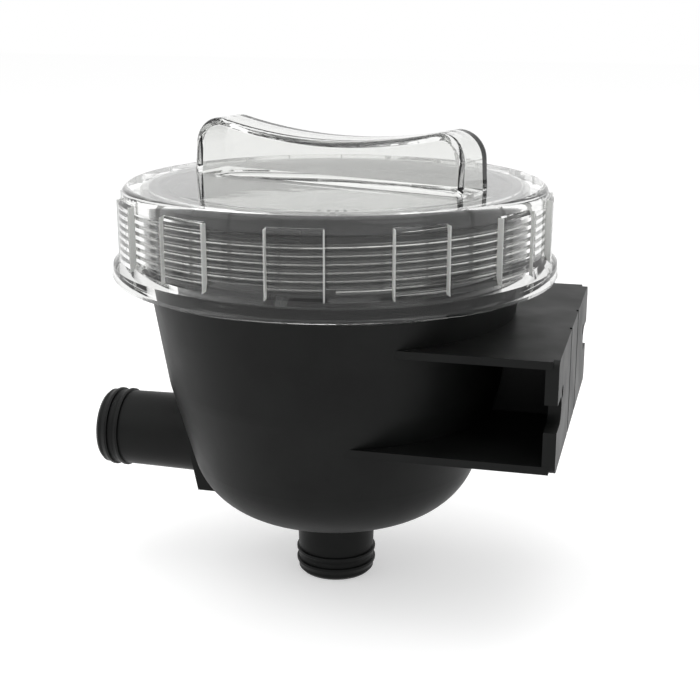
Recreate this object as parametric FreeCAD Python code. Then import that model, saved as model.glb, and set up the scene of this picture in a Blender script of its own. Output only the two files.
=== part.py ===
import FreeCAD, Part
import math
import os

from FreeCAD import Vector

# Sea water strainer: a moulded bowl with its mounting bracket and two hose tails, a clear screw-on lid,
# its sealing ring, and a lift-out basket. Lengths are millimetres and angles are degrees.
# The origin is the centre of the mounting face, +X points out of that face and +Z is up.
# Every piece is modelled about the bowl's axis first, and place() moves it into that frame.

# --- mounting bracket
axis_to_face = 81.5
plate_width = 104.0
plate_height = 35.4
plate_thickness = 4.0
plate_corner_radius = 3.0
shelf_thickness = 2.5
web_thickness = 3.0
bolt_slot_height = 8.6
bolt_slot_depth = 13.0
screw_hole_radius = 2.1
screw_hole_spacing = 75.0
screw_hole_level = 4.4
face_groove_spacing = 24.0
face_groove_width = 2.0
face_groove_depth = 0.8

# --- bowl
rim_level = 53.9
shoulder_level = 32.9
knee_level = -7.1
floor_level = -54.8
corner_level = -52.8
shoulder_radius = 63.8
knee_radius = 57.3
corner_radius = 44.6
knee_bend = 25.0
corner_bend = 26.0
shoulder_step = 1.0
rim_chamfer = 0.5
bowl_wall = 3.2
inside_corner_width = 13.0
inside_corner_height = 15.0
neck_radius = 62.0
neck_wall = 2.4
basket_ledge_depth = 10.5
basket_ledge_width = 1.2

# --- inlet pad and hose tails
inlet_level = -33.3
inlet_reach = 86.2
inlet_pad_width = 33.0
inlet_pad_bottom = -48.7
inlet_pad_rise = 12.0
inlet_pad_foot_inset = 1.6
outlet_length = 24.9
tail_radius = 13.4
tail_draft = 0.5
tail_bore_radius = 10.9
barb_radius = 14.1
barb_land = 0.8
barb_ramp = 1.5
barb_back = 0.2
barb_pitch = 4.1
barb_from_end = 3.6
tail_lip_radius = 12.5
tail_lip_length = 1.0

# --- room for the screw thread between bowl and lid
thread_depth = 1.9
thread_clearance = 0.4
thread_top_gap = 0.2

# --- lid
disc_thickness = 3.1
skirt_radius = 70.7
disc_edge_bend = 2.4
flange_radius = 75.0
flange_below_shoulder = 1.5
flange_lip = 2.7
flange_flare = 8.0
flange_rise = 3.6
flange_drop = 1.2
flange_taper = 0.6
skirt_overlap = 4.2
skirt_room = 1.4
skirt_step = 1.3
grip_count = 12
grip_angle = 13.8
grip_proud = 1.8
grip_offset = 5.4
grip_top_gap = 3.2
grip_foot_gap = 0.5
grip_chamfer = 1.2
spigot_depth = 3.6
spigot_width = 2.5

# --- lid handle
handle_angle = -17.4
handle_length = 104.0
handle_width = 21.0
handle_top_width = 17.0
handle_height = 19.0
handle_dip = 4.7
handle_wall = 2.6
handle_end_bend = 9.0
handle_edge_fillet = 2.4
handle_fillet_margin = 0.2

# --- sealing ring
seal_section = 3.2
seal_squeeze_gap = 0.1
seal_side_gap = 0.4
seal_inset = 0.5

# --- basket
basket_rim_thickness = 2.2
basket_rim_clearance = 0.4
basket_top_clearance = 4.4
basket_bottom_inset = 1.1
basket_floor_gap = 7.6
basket_corner_width = 9.0
basket_corner_height = 9.0
basket_wall = 1.8
basket_rib_count = 76
basket_rib_width = 1.8
basket_rib_inset = 0.15
basket_slot_top_gap = 5.0
basket_slot_bottom_gap = 26.0
basket_floor_slots = 20
basket_floor_slot_inner = 12.0
basket_floor_slot_length = 14.0
basket_floor_slot_width = 2.4
basket_window_radius = 11.0
basket_window_lift = 2.8

# --- how far a cutting shape runs past what it cuts, and how near counts as touching
cut_overshoot = 1.0
edge_tolerance = 0.1

# --- values that follow from the ones above
plate_half_height = plate_height / 2
plate_half_width = plate_width / 2
ledge_radius = neck_radius - neck_wall
ledge_inner_radius = ledge_radius - basket_ledge_width
basket_ledge_level = rim_level - basket_ledge_depth
basket_top_radius = ledge_inner_radius - basket_top_clearance
basket_bottom_radius = corner_radius - basket_bottom_inset
basket_bottom_level = floor_level + bowl_wall + basket_floor_gap
seal_radius = neck_radius - neck_wall / 2 - seal_inset
seal_level = rim_level + seal_squeeze_gap + seal_section / 2
lid_underside = seal_level + seal_section / 2 + seal_squeeze_gap
disc_top = lid_underside + disc_thickness
spigot_outer_radius = seal_radius - seal_section / 2 - seal_side_gap
seal_channel_radius = seal_radius + seal_section / 2 + seal_side_gap
thread_room_radius = neck_radius + thread_depth + thread_clearance
thread_top_level = rim_level - thread_top_gap
flange_level = shoulder_level - flange_below_shoulder
outlet_end_level = floor_level - outlet_length
bowl_slope = (shoulder_radius - knee_radius) / (shoulder_level - knee_level)

up = Vector(0, 0, 1)
origin = Vector(0, 0, 0)


def rounded_face(points, bends):
    """A face in the XZ plane, from (x, z) corners. bends gives the radius at each corner that is rounded."""
    corners = [Vector(x, 0, z) for x, z in points]
    count = len(corners)
    starts = []
    ends = []
    middles = []
    for index, corner in enumerate(corners):
        back = corners[index - 1] - corner
        ahead = corners[(index + 1) % count] - corner
        radius = bends.get(index, 0)
        if radius == 0:
            starts.append(corner)
            ends.append(corner)
            middles.append(None)
            continue
        half_angle = back.getAngle(ahead) / 2
        back.normalize()
        ahead.normalize()
        bisector = (back + ahead).normalize()
        tangent = radius / math.tan(half_angle)
        middle = corner + bisector * (radius / math.sin(half_angle) - radius)
        starts.append(corner + back * tangent)
        ends.append(corner + ahead * tangent)
        middles.append(middle)
    edges = []
    for index in range(count):
        if middles[index] is not None:
            edges.append(Part.Arc(starts[index], middles[index], ends[index]).toShape())
        run_end = starts[(index + 1) % count]
        if ends[index].distanceToPoint(run_end) > 1e-6:
            edges.append(Part.LineSegment(ends[index], run_end).toShape())
    return Part.Face(Part.Wire(edges))


def turned(points, bends=None, angle=360.0):
    """A solid turned about the bowl's axis from (radius, z) corners."""
    return rounded_face(points, bends or {}).revolve(origin, up, angle)


def block(x_range, y_range, z_range):
    """A box from the low and high value on each axis."""
    size = [high - low for low, high in (x_range, y_range, z_range)]
    return Part.makeBox(*size, Vector(x_range[0], y_range[0], z_range[0]))


def turn(shape, angle):
    """A copy of the shape, turned about the bowl's axis."""
    copy = shape.copy()
    copy.rotate(origin, up, angle)
    return copy


def place(shape):
    """The shape moved from the bowl's axis to the mounting face's frame."""
    moved = shape.removeSplitter()
    moved.translate(Vector(-axis_to_face, 0, 0))
    return moved


def cone_radius(level):
    """The bowl's outside radius on its upper cone, and on that cone's line carried on below the knee."""
    return knee_radius + bowl_slope * (level - knee_level)


def lower_cone_radius(level):
    """The bowl's outside radius on its lower cone."""
    slope = (knee_radius - corner_radius) / (knee_level - corner_level)
    return corner_radius + slope * (level - corner_level)


def tail_outline(length, root_radius):
    """Radius against distance from the free end, out over the barbs and back to the root."""
    outline = [(0, tail_lip_radius), (tail_lip_length, tail_radius)]
    for barb in range(2):
        land = barb_from_end + barb * barb_pitch
        outline += [
            (land - barb_ramp, tail_radius),
            (land, barb_radius),
            (land + barb_land, barb_radius),
            (land + barb_land + barb_back, tail_radius),
        ]
    outline.append((length, root_radius))
    return outline


def hose_tail(length):
    """A solid hose tail about Z with its free end at z = 0 and its root at z = length."""
    outline = tail_outline(length, tail_radius + tail_draft)
    points = [(0, 0)] + [(radius, distance) for distance, radius in outline] + [(0, length)]
    return turned(points)


def bowl_outside():
    """The solid bowl: neck, shoulder, two cones and a rounded bottom."""
    points = [
        (0, floor_level),
        (barb_radius, floor_level),
        (corner_radius, corner_level),
        (knee_radius, knee_level),
        (shoulder_radius, shoulder_level),
        (neck_radius, shoulder_level + shoulder_step),
        (neck_radius, rim_level - rim_chamfer),
        (neck_radius - rim_chamfer, rim_level),
        (0, rim_level),
    ]
    return turned(points, {2: corner_bend, 3: knee_bend})


def bowl_inside():
    """The space inside the bowl, with the ledge that the basket's rim rests on."""
    slope_top = corner_level + inside_corner_height
    points = [
        (0, floor_level + bowl_wall),
        (corner_radius - bowl_wall - inside_corner_width, floor_level + bowl_wall),
        (lower_cone_radius(slope_top) - bowl_wall, slope_top),
        (knee_radius - bowl_wall, knee_level),
        (ledge_inner_radius, basket_ledge_level),
        (ledge_radius, basket_ledge_level),
        (ledge_radius, rim_level),
        (0, rim_level),
    ]
    return turned(points)


def inlet_pad():
    """The flat-sided pad under the inlet, which carries the upper cone's line further down."""
    top = knee_level + inlet_pad_rise
    cone = turned([
        (0, inlet_pad_bottom),
        (cone_radius(inlet_pad_bottom) - inlet_pad_foot_inset, inlet_pad_bottom),
        (cone_radius(top), top),
        (0, top),
    ])
    reach = cone_radius(top) + cut_overshoot
    half_width = inlet_pad_width / 2
    sides = block((-reach, -corner_radius / 2), (-half_width, half_width), (inlet_pad_bottom, top))
    return cone.common(sides)


def bracket():
    """Two shelves, the web between them and the slotted back plate, as one casting with the bowl."""
    front = axis_to_face - plate_thickness
    corners = [
        (-plate_half_width, -plate_half_height),
        (plate_half_width, -plate_half_height),
        (plate_half_width, plate_half_height),
        (-plate_half_width, plate_half_height),
    ]
    plate_face = rounded_face(corners, {index: plate_corner_radius for index in range(4)})
    plate_face.rotate(origin, up, 90)
    plate_face.translate(Vector(front, 0, 0))
    plate = plate_face.extrude(Vector(plate_thickness, 0, 0))
    across = (-plate_half_width, plate_half_width)
    along = (0, front + plate_thickness / 2)
    top_shelf = block(along, across, (plate_half_height - shelf_thickness, plate_half_height))
    bottom_shelf = block(along, across, (-plate_half_height, shelf_thickness - plate_half_height))
    web = block(along, (-web_thickness / 2, web_thickness / 2), (-plate_half_height, plate_half_height))
    return plate.multiFuse([top_shelf, bottom_shelf, web])


def bracket_cuts():
    """The bolt slots, the screw holes and the two shallow face grooves, cut from the back plate."""
    through = (axis_to_face - plate_thickness - cut_overshoot, axis_to_face + cut_overshoot)
    depth = through[1] - through[0]
    along_x = Vector(1, 0, 0)
    radius = bolt_slot_height / 2
    cuts = []
    for side in (-1, 1):
        slot_end = side * (plate_half_width - bolt_slot_depth + radius)
        outside = side * (plate_half_width + cut_overshoot)
        cuts.append(Part.makeCylinder(radius, depth, Vector(through[0], slot_end, 0), along_x))
        cuts.append(block(through, tuple(sorted((slot_end, outside))), (-radius, radius)))
        hole_centre = Vector(through[0], side * screw_hole_spacing / 2, screw_hole_level)
        cuts.append(Part.makeCylinder(screw_hole_radius, depth, hole_centre, along_x))
        groove = side * face_groove_spacing / 2
        groove_y = (groove - face_groove_width / 2, groove + face_groove_width / 2)
        groove_x = (axis_to_face - face_groove_depth, axis_to_face + cut_overshoot)
        groove_z = (-plate_half_height - cut_overshoot, plate_half_height + cut_overshoot)
        cuts.append(block(groove_x, groove_y, groove_z))
    return cuts


def housing():
    """The one-piece moulding: bowl, inlet pad, hose tails and bracket."""
    inlet_length = inlet_reach - corner_radius
    inlet_tail = hose_tail(inlet_length)
    inlet_tail.rotate(origin, Vector(0, 1, 0), 90)
    inlet_tail.translate(Vector(-inlet_reach, 0, inlet_level))
    outlet_tail = hose_tail(outlet_length + bowl_wall / 2)
    outlet_tail.translate(Vector(0, 0, outlet_end_level))
    body = bowl_outside().multiFuse([inlet_pad(), inlet_tail, outlet_tail, bracket()])
    inlet_bore = Part.makeCylinder(
        tail_bore_radius, inlet_reach - basket_bottom_radius / 2 + cut_overshoot,
        Vector(-inlet_reach - cut_overshoot, 0, inlet_level), Vector(1, 0, 0))
    outlet_bore = Part.makeCylinder(
        tail_bore_radius, outlet_length + bowl_wall + 2 * cut_overshoot,
        Vector(0, 0, outlet_end_level - cut_overshoot))
    return body.cut([bowl_inside(), inlet_bore, outlet_bore] + bracket_cuts())


def handle_profile(length, foot_level, top_level, end_bend):
    """The handle's face seen from its side: two rounded ends that run smoothly into the saddle between them."""
    horn_x = length / 2 - end_bend
    saddle_radius = (horn_x ** 2 + handle_dip ** 2) / (2 * handle_dip) - end_bend
    horn_turn = math.pi / 2 + math.asin(horn_x / (saddle_radius + end_bend))

    def horn_point(side, angle):
        rise = end_bend * math.sin(angle)
        return Vector(side * (horn_x + end_bend * math.cos(angle)), 0, top_level - end_bend + rise)

    def horn(side):
        middle = horn_point(side, horn_turn / 2)
        return Part.Arc(horn_point(side, 0), middle, horn_point(side, horn_turn)).toShape()

    lowest = Vector(0, 0, top_level - handle_dip)
    saddle = Part.Arc(horn_point(-1, horn_turn), lowest, horn_point(1, horn_turn)).toShape()
    feet = [Vector(side * length / 2, 0, foot_level) for side in (-1, 1)]
    edges = [
        Part.LineSegment(feet[0], horn_point(-1, 0)).toShape(),
        horn(-1),
        saddle,
        horn(1),
        Part.LineSegment(horn_point(1, 0), feet[1]).toShape(),
        Part.LineSegment(feet[1], feet[0]).toShape(),
    ]
    return Part.Face(Part.Wire(edges))


def handle_block(length, width, top_width, top_level, foot_level, end_bend):
    """The handle's body with leaning sides, cut to its side profile."""
    profile = handle_profile(length, foot_level, top_level, end_bend)
    profile.translate(Vector(0, -width, 0))
    section = Part.makePolygon([
        Vector(-length, -width / 2, foot_level),
        Vector(-length, width / 2, foot_level),
        Vector(-length, top_width / 2, top_level),
        Vector(-length, -top_width / 2, top_level),
        Vector(-length, -width / 2, foot_level),
    ])
    prism = Part.Face(section).extrude(Vector(2 * length, 0, 0))
    return prism.common(profile.extrude(Vector(0, 2 * width, 0)))


def handle_solids():
    """The lid's hollow handle as its outside and its inside, which is open at the bottom."""
    top_level = disc_top + handle_height
    foot_level = disc_top - disc_thickness / 2
    outside = handle_block(
        handle_length, handle_width, handle_top_width, top_level, foot_level, handle_end_bend)
    side_edges = [edge for edge in outside.Edges
                  if abs(edge.CenterOfMass.y) > handle_top_width / 2 - edge_tolerance]
    long_edges = [edge for edge in side_edges if edge.BoundBox.ZMax > foot_level + edge_tolerance]
    outside = outside.makeFillet(min(handle_edge_fillet, handle_wall - handle_fillet_margin), long_edges)
    inside = handle_block(
        handle_length - 2 * handle_wall, handle_width - 2 * handle_wall, handle_top_width - 2 * handle_wall,
        top_level - handle_wall, lid_underside - cut_overshoot, handle_end_bend - handle_wall)
    return turn(outside, handle_angle), turn(inside, handle_angle)


def lid_shell():
    """The turned part of the lid: disc, sealing spigot, skirt and flared lower edge."""
    lip = flange_level - flange_lip
    flange_top = flange_level + flange_rise
    flange_foot = flange_level - flange_drop
    skirt_inside = shoulder_radius + thread_clearance + skirt_room
    spigot_foot = lid_underside - spigot_depth
    points = [
        (0, disc_top),
        (skirt_radius, disc_top),
        (skirt_radius, flange_level + flange_flare),
        (flange_radius - flange_taper, flange_top),
        (flange_radius, flange_level),
        (flange_radius - flange_taper, flange_foot),
        (flange_radius - skirt_overlap, lip),
        (skirt_inside, lip),
        (skirt_inside, shoulder_level),
        (thread_room_radius, shoulder_level + skirt_step),
        (thread_room_radius, thread_top_level),
        (seal_channel_radius, thread_top_level),
        (seal_channel_radius, lid_underside),
        (spigot_outer_radius, lid_underside),
        (spigot_outer_radius, spigot_foot),
        (spigot_outer_radius - spigot_width, spigot_foot),
        (spigot_outer_radius - spigot_width, lid_underside),
        (0, lid_underside),
    ]
    return turned(points, {1: disc_edge_bend})


def lid_grips():
    """The raised finger grips round the skirt."""
    low = flange_level + flange_rise + grip_foot_gap
    high = disc_top - grip_top_gap
    inner = (thread_room_radius + skirt_radius) / 2
    outer = skirt_radius + grip_proud
    points = [
        (inner, low),
        (outer, low),
        (outer, high - grip_chamfer),
        (outer - grip_chamfer, high),
        (inner, high),
    ]
    grip = turned(points, None, grip_angle)
    first = grip_offset - grip_angle / 2
    return [turn(grip, first + 360.0 / grip_count * index) for index in range(grip_count)]


def lid():
    """The clear screw-on lid with its grips and its hollow handle."""
    handle_outside, handle_inside = handle_solids()
    body = lid_shell().multiFuse(lid_grips() + [handle_outside])
    return body.cut(handle_inside)


def lid_seal():
    """The square-section sealing ring that the lid presses onto the bowl's rim."""
    half = seal_section / 2
    return turned([
        (seal_radius - half, seal_level - half),
        (seal_radius + half, seal_level - half),
        (seal_radius + half, seal_level + half),
        (seal_radius - half, seal_level + half),
    ])


def basket_wall_radius(level):
    """The outside radius of the basket's tapered wall."""
    top = basket_ledge_level + basket_rim_thickness
    taper = (basket_top_radius - basket_bottom_radius) / (top - basket_bottom_level)
    return basket_bottom_radius + taper * (level - basket_bottom_level)


def basket_band(low, high):
    """A ring of the tapered wall between two levels."""
    return turned([
        (basket_wall_radius(low) - basket_wall, low),
        (basket_wall_radius(low), low),
        (basket_wall_radius(high), high),
        (basket_wall_radius(high) - basket_wall, high),
    ])


def basket_cup(high):
    """The closed lower part of the basket, with a sloped corner between its floor and its wall."""
    corner_level = basket_bottom_level + basket_corner_height
    points = [(0, basket_bottom_level)]
    points.append((basket_wall_radius(corner_level) - basket_corner_width, basket_bottom_level))
    points.append((basket_wall_radius(corner_level), corner_level))
    points.append((basket_wall_radius(high), high))
    points.append((basket_wall_radius(high) - basket_wall, high))
    points.append((basket_wall_radius(corner_level) - basket_wall, corner_level + basket_wall / 2))
    points.append((basket_wall_radius(corner_level) - basket_corner_width, basket_bottom_level + basket_wall))
    points.append((0, basket_bottom_level + basket_wall))
    return turned(points)


def basket_rib(low, high):
    """One upright bar, set a little inside the wall's two faces and sunk into the band and the cup."""
    sunk = basket_wall / 2
    foot = basket_wall_radius(low - sunk)
    head = basket_wall_radius(high + sunk)
    points = [
        (foot - basket_wall + basket_rib_inset, low - sunk),
        (foot - basket_rib_inset, low - sunk),
        (head - basket_rib_inset, high + sunk),
        (head - basket_wall + basket_rib_inset, high + sunk),
    ]
    side = rounded_face(points, {})
    side.translate(Vector(0, -basket_rib_width / 2, 0))
    return side.extrude(Vector(0, basket_rib_width, 0))


def basket():
    """The lift-out basket: rim, barred wall, slotted floor and the window that faces the inlet."""
    rim_radius = ledge_radius - basket_rim_clearance
    top = basket_ledge_level + basket_rim_thickness
    bars_low = basket_bottom_level + basket_slot_bottom_gap
    bars_high = basket_ledge_level - basket_slot_top_gap
    rim = turned([
        (basket_top_radius - basket_wall, basket_ledge_level),
        (rim_radius, basket_ledge_level),
        (rim_radius, top),
        (basket_top_radius - basket_wall, top),
    ])
    rib = basket_rib(bars_low, bars_high)
    ribs = [turn(rib, 360.0 / basket_rib_count * index) for index in range(basket_rib_count)]
    body = basket_band(bars_high, top).multiFuse([rim, basket_cup(bars_low)] + ribs)

    half_slot = basket_floor_slot_width / 2
    slot_reach = (basket_floor_slot_inner, basket_floor_slot_inner + basket_floor_slot_length)
    slot_drop = (basket_bottom_level - cut_overshoot, basket_bottom_level + basket_wall + cut_overshoot)
    floor_slot = block(slot_reach, (-half_slot, half_slot), slot_drop)
    slots = [turn(floor_slot, 360.0 / basket_floor_slots * index) for index in range(basket_floor_slots)]
    window = Part.makeCylinder(
        basket_window_radius, basket_top_radius,
        Vector(-basket_top_radius - cut_overshoot, 0, inlet_level + basket_window_lift), Vector(1, 0, 0))
    return body.cut(slots + [window])


os.makedirs("parts", exist_ok=True)
pieces = {
    "housing": housing(),
    "lid": lid(),
    "lid_seal": lid_seal(),
    "strainer_basket": basket(),
}
for name, shape in pieces.items():
    piece = place(shape)
    piece.exportStep("parts/" + name + ".step")
    solid_count = len(piece.Solids)
    size = piece.BoundBox
    print(f"{name}: {solid_count} solid, valid {piece.isValid()}, volume {piece.Volume / 1000:.1f} cm3, "
          f"x {size.XMin:.1f} to {size.XMax:.1f}, y {size.YMin:.1f} to {size.YMax:.1f}, "
          f"z {size.ZMin:.1f} to {size.ZMax:.1f}")
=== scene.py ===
import bpy
import math
from mathutils import Matrix, Vector


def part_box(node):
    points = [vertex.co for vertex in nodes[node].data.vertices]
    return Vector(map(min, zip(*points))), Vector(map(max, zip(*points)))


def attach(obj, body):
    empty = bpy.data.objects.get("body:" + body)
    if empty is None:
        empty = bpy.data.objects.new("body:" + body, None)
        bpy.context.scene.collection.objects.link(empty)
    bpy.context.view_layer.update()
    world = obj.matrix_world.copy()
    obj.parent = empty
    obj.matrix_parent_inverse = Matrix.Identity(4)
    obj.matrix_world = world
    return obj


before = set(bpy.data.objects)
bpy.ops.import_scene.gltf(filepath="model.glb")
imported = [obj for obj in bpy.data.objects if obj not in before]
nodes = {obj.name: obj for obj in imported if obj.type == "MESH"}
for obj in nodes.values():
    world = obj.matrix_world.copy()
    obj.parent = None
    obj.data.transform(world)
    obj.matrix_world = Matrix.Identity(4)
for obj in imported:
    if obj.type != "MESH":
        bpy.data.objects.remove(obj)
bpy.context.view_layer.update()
bpy.ops.object.select_all(action="DESELECT")
print("frame loaded:", sorted(nodes))


camera = {
    "place": (0.0315, -0.4216, 0.1255),
    "forward": (-0.2386, 0.9319, -0.2735),
    "roll": 0.07,      # degrees
    "lens": 67.32,
    "sensor": 36.0,
    "clipStart": 0.01,
}


def addCamera(values):
    forward = Vector(values["forward"]).normalized()
    data = bpy.data.cameras.new("viewCamera")
    data.lens = values["lens"]
    data.sensor_width = values["sensor"]
    data.clip_start = values["clipStart"]
    eye = bpy.data.objects.new("viewCamera", data)
    bpy.context.scene.collection.objects.link(eye)
    look = forward.to_track_quat("-Z", "Y").to_matrix().to_4x4()
    roll = Matrix.Rotation(math.radians(values["roll"]), 4, "Z")
    eye.matrix_world = Matrix.Translation(values["place"]) @ look @ roll
    bpy.context.scene.camera = eye


addCamera(camera)
print("camera placed")


# measures taken from the frame
sealLow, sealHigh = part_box("lid_seal")
bowlCentre = Vector(((sealLow.x + sealHigh.x) / 2, (sealLow.y + sealHigh.y) / 2, 0))
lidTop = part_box("lid")[1].z
print("bowl axis at", tuple(round(v, 5) for v in bowlCentre), "lid top at", round(lidTop, 5))


# helpers for pieces
def deselectAll():
    if bpy.context.mode != "OBJECT":
        bpy.ops.object.mode_set(mode="OBJECT")
    bpy.ops.object.select_all(action="DESELECT")


def takePiece(name):  # piece just added by an operator
    piece = bpy.context.active_object
    piece.name = name
    piece.data.name = name
    return piece


# materials
def newMaterial(name):
    made = bpy.data.materials.new(name)
    made.use_nodes = True
    tree = made.node_tree
    shader = tree.nodes["Principled BSDF"]
    return made, tree, shader


def node(tree, kind, **values):
    made = tree.nodes.new(kind)
    for key, value in values.items():
        setattr(made, key, value)
    return made


def objectCoordinates(tree):
    return node(tree, "ShaderNodeTexCoord").outputs["Object"]


def mapped(tree, scale):  # object coordinates stretched by scale on each axis
    mapping = node(tree, "ShaderNodeMapping")
    mapping.inputs["Scale"].default_value = scale
    tree.links.new(objectCoordinates(tree), mapping.inputs["Vector"])
    return mapping.outputs["Vector"]


def noise(tree, vector, scale, detail=3.0, rough=0.5):
    made = node(tree, "ShaderNodeTexNoise")
    made.inputs["Scale"].default_value = scale
    made.inputs["Detail"].default_value = detail
    made.inputs["Roughness"].default_value = rough
    tree.links.new(vector, made.inputs["Vector"])
    return made.outputs["Fac"]


noiseRange = (0.3, 0.7)      # where most of a noise's values lie
waveDetail = 2.0             # octaves of a slow wave over a piece
smoothAngle = math.radians(50)


def ramp(tree, fac, stops):  # colour ramp from (position, colour) stops
    made = node(tree, "ShaderNodeValToRGB")
    elements = made.color_ramp.elements
    while len(elements) < len(stops):
        elements.new(0.5)
    for element, (position, colour) in zip(elements, stops):
        element.position = position
        element.color = (*colour, 1.0)
    tree.links.new(fac, made.inputs["Fac"])
    return made.outputs["Color"]


def spread(tree, fac, low, high):  # noise stretched to run from low to high
    made = node(tree, "ShaderNodeMapRange")
    made.inputs["From Min"].default_value = noiseRange[0]
    made.inputs["From Max"].default_value = noiseRange[1]
    made.inputs["To Min"].default_value = low
    made.inputs["To Max"].default_value = high
    tree.links.new(fac, made.inputs["Value"])
    return made.outputs["Result"]


def bump(tree, heights):  # stacked bumps from (height socket, strength, distance)
    normal = None
    for height, strength, distance in heights:
        made = node(tree, "ShaderNodeBump")
        made.inputs["Strength"].default_value = strength
        made.inputs["Distance"].default_value = distance
        tree.links.new(height, made.inputs["Height"])
        if normal is not None:
            tree.links.new(normal, made.inputs["Normal"])
        normal = made.outputs["Normal"]
    return normal


blackPlastic = {
    "dark": (0.0035, 0.0037, 0.0036),
    "light": (0.0065, 0.0070, 0.0067),
    "rough": (0.40, 0.50),
    "specular": 0.13,
    "grain": 1500.0,
    "grainDetail": 4.0,
    "grainRough": 0.6,
    "grainDepth": 0.00006,
    "grainStrength": 0.5,
    "wave": 60.0,
    "waveDepth": 0.0003,
    "waveStrength": 0.25,
}


def makeBlackPlastic(values):
    made, tree, shader = newMaterial("blackMouldedPlastic")
    place = objectCoordinates(tree)
    wide = noise(tree, place, values["wave"], waveDetail)
    fine = noise(tree, place, values["grain"], values["grainDetail"], values["grainRough"])
    colour = ramp(tree, wide, list(zip(noiseRange, (values["dark"], values["light"]))))
    tree.links.new(colour, shader.inputs["Base Color"])
    tree.links.new(spread(tree, wide, *values["rough"]), shader.inputs["Roughness"])
    shader.inputs["Specular IOR Level"].default_value = values["specular"]
    waves = (wide, values["waveStrength"], values["waveDepth"])
    grain = (fine, values["grainStrength"], values["grainDepth"])
    normal = bump(tree, [waves, grain])
    tree.links.new(normal, shader.inputs["Normal"])
    return made


clearPlastic = {
    "tint": (0.895, 0.898, 0.888),
    "rough": (0.012, 0.035),
    "ior": 1.36,
    "wave": 45.0,
    "waveDepth": 0.0004,
    "waveStrength": 0.12,
    "stretch": (1, 1, 0.6),  # longer waves along the skirt's height
    "shadowTint": (0.86, 0.87, 0.85),
}


def makeClearPlastic(values):
    made, tree, shader = newMaterial("clearMouldedPlastic")
    place = mapped(tree, values["stretch"])
    wide = noise(tree, place, values["wave"], waveDetail)
    shader.inputs["Base Color"].default_value = (*values["tint"], 1.0)
    shader.inputs["Transmission Weight"].default_value = 1.0
    shader.inputs["IOR"].default_value = values["ior"]
    tree.links.new(spread(tree, wide, *values["rough"]), shader.inputs["Roughness"])
    normal = bump(tree, [(wide, values["waveStrength"], values["waveDepth"])])
    tree.links.new(normal, shader.inputs["Normal"])
    through = node(tree, "ShaderNodeBsdfTransparent")
    through.inputs["Color"].default_value = (*values["shadowTint"], 1.0)
    path = node(tree, "ShaderNodeLightPath")
    mix = node(tree, "ShaderNodeMixShader")
    tree.links.new(path.outputs["Is Shadow Ray"], mix.inputs["Fac"])
    tree.links.new(shader.outputs["BSDF"], mix.inputs[1])
    tree.links.new(through.outputs["BSDF"], mix.inputs[2])
    tree.links.new(mix.outputs["Shader"], tree.nodes["Material Output"].inputs["Surface"])
    return made


sealRubber = {
    "dark": (0.012, 0.012, 0.013),
    "light": (0.022, 0.022, 0.023),
    "rampRange": (0.35, 0.65),
    "rough": (0.55, 0.7),
    "specular": 0.4,
    "grain": 900.0,
    "grainDepth": 0.00005,
    "grainStrength": 0.5,
}


def makeSealRubber(values):
    made, tree, shader = newMaterial("sealRubber")
    place = objectCoordinates(tree)
    fine = noise(tree, place, values["grain"])
    colour = ramp(tree, fine, list(zip(values["rampRange"], (values["dark"], values["light"]))))
    tree.links.new(colour, shader.inputs["Base Color"])
    tree.links.new(spread(tree, fine, *values["rough"]), shader.inputs["Roughness"])
    shader.inputs["Specular IOR Level"].default_value = values["specular"]
    normal = bump(tree, [(fine, values["grainStrength"], values["grainDepth"])])
    tree.links.new(normal, shader.inputs["Normal"])
    return made


whitePlastic = {
    "dark": (0.70, 0.70, 0.71),
    "light": (0.78, 0.78, 0.785),
    "rough": (0.32, 0.45),
    "wave": 80.0,
    "grain": 1200.0,
    "grainDepth": 0.00004,
    "grainStrength": 0.4,
}


def makeWhitePlastic(values):
    made, tree, shader = newMaterial("whiteBasketPlastic")
    place = objectCoordinates(tree)
    wide = noise(tree, place, values["wave"], waveDetail)
    fine = noise(tree, place, values["grain"])
    colour = ramp(tree, wide, list(zip(noiseRange, (values["dark"], values["light"]))))
    tree.links.new(colour, shader.inputs["Base Color"])
    tree.links.new(spread(tree, wide, *values["rough"]), shader.inputs["Roughness"])
    normal = bump(tree, [(fine, values["grainStrength"], values["grainDepth"])])
    tree.links.new(normal, shader.inputs["Normal"])
    return made


finishes = {
    "black_moulding": makeBlackPlastic(blackPlastic),
    "clear_plastic": makeClearPlastic(clearPlastic),
    "seal_rubber": makeSealRubber(sealRubber),
    "white_plastic": makeWhitePlastic(whitePlastic),
}
nodeFinish = {
    "housing": "black_moulding",
    "lid": "clear_plastic",
    "lid_seal": "seal_rubber",
    "strainer_basket": "white_plastic",
}


def dressNodes():
    for name, slot in nodeFinish.items():
        piece = nodes[name]
        piece.data.materials.clear()
        piece.data.materials.append(finishes[slot])


dressNodes()
print("materials on the CAD nodes:", nodeFinish)


# screw threads
threads = {
    "lead": 0.005,       # rise in one full turn
    "starts": 2,
    "depth": 0.0019,
    "tip": 0.0009,
    "root": 0.0013,
    "sink": 0.0003,      # how far each ridge reaches into its wall
    "edge": 0.00028,
    "edgeSteps": 3,
    "stepsPerTurn": 120,
    "bowl": {"radius": 0.0620, "from": 0.03585, "turns": 3.1, "angle": 60.0},
    "lid": {"radius": 0.0643, "from": 0.0346, "turns": 3.4, "angle": 105.0},
}


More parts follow.
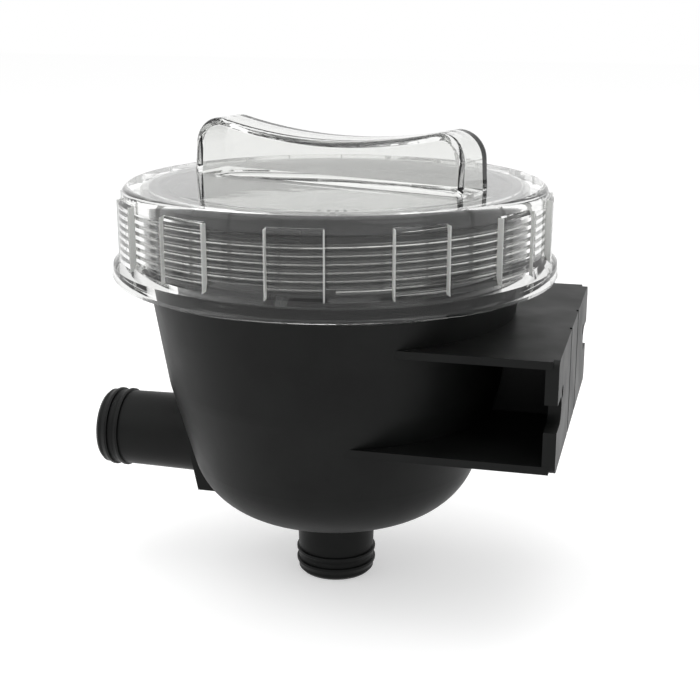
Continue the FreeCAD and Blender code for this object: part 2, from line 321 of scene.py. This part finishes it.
# helical ridges on a round wall, one for each start, joined as one piece
def addThread(name, body, slot, values, outwards):
    reach = threads["depth"] if outwards else -threads["depth"]
    sink = math.copysign(threads["sink"], reach)
    turns = values["turns"]
    lift = threads["lead"] * values["angle"] / 360  # keeps both threads in step, whatever angle they start at
    level = values["from"] + lift
    foot, tip = values["radius"] - sink, values["radius"] + reach
    ridges = []
    for start in range(threads["starts"]):
        deselectAll()
        bpy.ops.mesh.primitive_plane_add(
            size=1,
            location=((foot + tip) / 2, 0, level),
            rotation=(math.pi / 2, 0, 0),
        )
        ridge = takePiece(name + "_start")
        ridge.scale = (abs(tip - foot), threads["root"], 1)
        bpy.ops.object.transform_apply(location=True, rotation=True, scale=True)
        bpy.ops.object.mode_set(mode="EDIT")
        bpy.ops.mesh.select_all(action="DESELECT")
        bpy.ops.object.mode_set(mode="OBJECT")
        for corner in ridge.data.vertices:
            corner.select = abs(corner.co.x - tip) < threads["sink"]
        bpy.ops.object.mode_set(mode="EDIT")
        narrowing = threads["tip"] / threads["root"]
        bpy.ops.transform.resize(value=(1, 1, narrowing), center_override=(tip, 0, level))
        bpy.ops.mesh.select_all(action="SELECT")
        bpy.ops.mesh.bevel(offset=threads["edge"], segments=threads["edgeSteps"], affect="VERTICES")
        bpy.ops.mesh.select_all(action="SELECT")
        bpy.ops.mesh.delete(type="ONLY_FACE")
        bpy.ops.object.mode_set(mode="OBJECT")

        screw = ridge.modifiers.new("helix", "SCREW")
        screw.axis = "Z"
        screw.angle = 2 * math.pi * turns
        screw.screw_offset = threads["lead"] * turns
        screw.steps = round(threads["stepsPerTurn"] * turns)
        screw.render_steps = screw.steps
        bpy.ops.object.modifier_apply(modifier="helix")
        bpy.ops.object.mode_set(mode="EDIT")
        bpy.ops.mesh.select_all(action="DESELECT")
        bpy.ops.mesh.select_non_manifold()
        bpy.ops.mesh.fill_holes(sides=0)
        bpy.ops.mesh.select_all(action="SELECT")
        bpy.ops.mesh.normals_make_consistent(inside=False)
        bpy.ops.object.mode_set(mode="OBJECT")
        ridge.rotation_euler.z = math.radians(values["angle"] + 360 / threads["starts"] * start)
        ridge.location = bowlCentre
        bpy.ops.object.transform_apply(location=True, rotation=True, scale=True)
        ridges.append(ridge)
    deselectAll()
    for ridge in ridges:
        ridge.select_set(True)
    bpy.context.view_layer.objects.active = ridges[0]
    bpy.ops.object.join()
    thread = takePiece(name)
    bpy.ops.object.shade_smooth_by_angle(angle=smoothAngle)
    thread.data.materials.append(finishes[slot])
    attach(thread, body)
    print(name, "made with", len(thread.data.polygons), "faces")


# painted highlight lines on the lid's grips: pale part-clear strips, one down each side of every grip,
# standing in for the light lines that the grips' clear side faces show
gripEdgeHighlights = {
    "count": 12,
    "offset": 5.4,
    "gripAngle": 13.8,
    "inner": 0.0703,
    "outer": 0.0726,
    "width": 0.00045,
    "foot": 0.0357,
    "topGap": 0.0226,        # from the lid's highest point down to the top of the edges
    "bend": 0.00018,
    "bendSteps": 3,
    # tint and clear set how pale the painted highlight lines read
    "tint": (0.90, 0.905, 0.89),
    "rough": (0.30, 0.46),
    "clear": 0.6,
    "grain": 900.0,
    "grainDetail": 3.0,
    "grainRough": 0.6,
    "grainDepth": 0.00012,
    "grainStrength": 0.4,
}


def makeGripEdgeHighlight(values):
    made, tree, shader = newMaterial("gripEdgePaintedHighlight")
    place = objectCoordinates(tree)
    fine = noise(tree, place, values["grain"], values["grainDetail"], values["grainRough"])
    # pale, part-diffuse finish that paints highlight lines down the grips' sides
    shader.inputs["Base Color"].default_value = (*values["tint"], 1.0)
    shader.inputs["Transmission Weight"].default_value = values["clear"]
    shader.inputs["IOR"].default_value = clearPlastic["ior"]
    tree.links.new(spread(tree, fine, *values["rough"]), shader.inputs["Roughness"])
    normal = bump(tree, [(fine, values["grainStrength"], values["grainDepth"])])
    tree.links.new(normal, shader.inputs["Normal"])
    return made


def addGripEdgeHighlights(values):  # modelled once and turned round the lid, two for each grip
    low, high = values["foot"], lidTop - values["topGap"]
    deselectAll()
    bpy.ops.mesh.primitive_cube_add(
        size=1,
        location=((values["inner"] + values["outer"]) / 2, 0, (low + high) / 2),
        scale=(values["outer"] - values["inner"], values["width"], high - low),
    )
    pattern = takePiece("lid_grip_edge")
    bpy.ops.object.transform_apply(location=True, rotation=True, scale=True)
    bevel = pattern.modifiers.new("roundedEdges", "BEVEL")
    bevel.width = values["bend"]
    bevel.segments = values["bendSteps"]
    bpy.ops.object.modifier_apply(modifier="roundedEdges")
    bpy.ops.object.shade_smooth_by_angle(angle=smoothAngle)
    edges = []
    for grip in range(values["count"]):
        for side in (-0.5, 0.5):
            edge = pattern.copy()
            edge.data = pattern.data.copy()
            bpy.context.scene.collection.objects.link(edge)
            turn = values["offset"] + 360 / values["count"] * grip + side * values["gripAngle"]
            edge.rotation_euler.z = math.radians(turn)
            edge.location = bowlCentre
            edges.append(edge)
    bpy.data.objects.remove(pattern)
    deselectAll()
    for edge in edges:
        edge.select_set(True)
    bpy.context.view_layer.objects.active = edges[0]
    bpy.ops.object.transform_apply(location=True, rotation=True, scale=True)
    bpy.ops.object.join()
    joined = takePiece("lid_grip_edges")
    joined.data.materials.append(makeGripEdgeHighlight(values))
    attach(joined, "lid")
    print("grip edges made with", len(joined.data.polygons), "faces")


addGripEdgeHighlights(gripEdgeHighlights)
addThread("bowl_thread", "bowl", "black_moulding", threads["bowl"], True)
addThread("lid_thread", "lid", "clear_plastic", threads["lid"], False)


# floor, world and lamps
studio = {
    "floorLevel": -0.0802,
    "floorSize": 6.0,
    "floorColour": (0.78, 0.78, 0.78),
    "floorGlow": 0.40,
    "worldLight": 0.75,
    "lamps": {
        "leftSoftbox": {"place": (-0.75, -0.45, 0.55), "size": (0.7, 0.9), "power": 2.2},
        "rightSoftbox": {"place": (0.62, -0.62, 0.50), "size": (0.6, 0.8), "power": 1.8},
        "topSoftbox": {"place": (-0.10, 0.05, 0.95), "size": (0.9, 0.9), "power": 3.6},
    },
    "aim": (-0.08, 0.0, 0.0),
}


def seenRays(tree):  # 1 for the rays that show the background: camera, glossy and transmission
    path = node(tree, "ShaderNodeLightPath")
    total = path.outputs["Is Camera Ray"]
    for name in ("Is Glossy Ray", "Is Transmission Ray"):
        added = node(tree, "ShaderNodeMath", operation="MAXIMUM")
        tree.links.new(total, added.inputs[0])
        tree.links.new(path.outputs[name], added.inputs[1])
        total = added.outputs["Value"]
    return total


def makeWorld():
    world = bpy.data.worlds.new("studioWorld")
    world.use_nodes = True
    bpy.context.scene.world = world
    tree = world.node_tree
    background = tree.nodes["Background"]
    background.inputs["Color"].default_value = (1, 1, 1, 1)
    strength = node(tree, "ShaderNodeMapRange")
    strength.inputs["To Min"].default_value = studio["worldLight"]
    strength.inputs["To Max"].default_value = 1.0
    tree.links.new(seenRays(tree), strength.inputs["Value"])
    tree.links.new(strength.outputs["Result"], background.inputs["Strength"])


def makeFloor():
    deselectAll()
    bpy.ops.mesh.primitive_plane_add(size=studio["floorSize"], location=(0, 0, studio["floorLevel"]))
    floor = takePiece("floor")
    made, tree, shader = newMaterial("floorWhite")
    tree.nodes.remove(shader)
    lit = node(tree, "ShaderNodeBsdfDiffuse")
    lit.inputs["Color"].default_value = (*studio["floorColour"], 1.0)
    glow = node(tree, "ShaderNodeEmission")
    glow.inputs["Color"].default_value = (1, 1, 1, 1)
    glow.inputs["Strength"].default_value = studio["floorGlow"]
    both = node(tree, "ShaderNodeAddShader")
    tree.links.new(lit.outputs["BSDF"], both.inputs[0])
    tree.links.new(glow.outputs["Emission"], both.inputs[1])
    mix = node(tree, "ShaderNodeMixShader")
    tree.links.new(seenRays(tree), mix.inputs["Fac"])
    tree.links.new(lit.outputs["BSDF"], mix.inputs[1])
    tree.links.new(both.outputs["Shader"], mix.inputs[2])
    tree.links.new(mix.outputs["Shader"], tree.nodes["Material Output"].inputs["Surface"])
    floor.data.materials.append(made)


def makeLamps():
    for name, values in studio["lamps"].items():
        data = bpy.data.lights.new(name, "AREA")
        data.shape = "RECTANGLE"
        data.size, data.size_y = values["size"]
        data.energy = values["power"]
        lamp = bpy.data.objects.new(name, data)
        bpy.context.scene.collection.objects.link(lamp)
        place = Vector(values["place"])
        turn = (Vector(studio["aim"]) - place).to_track_quat("-Z", "Y").to_matrix().to_4x4()
        lamp.matrix_world = Matrix.Translation(place) @ turn


makeWorld()
makeFloor()
makeLamps()
bpy.context.scene.view_settings.view_transform = "Standard"
print("studio lit")
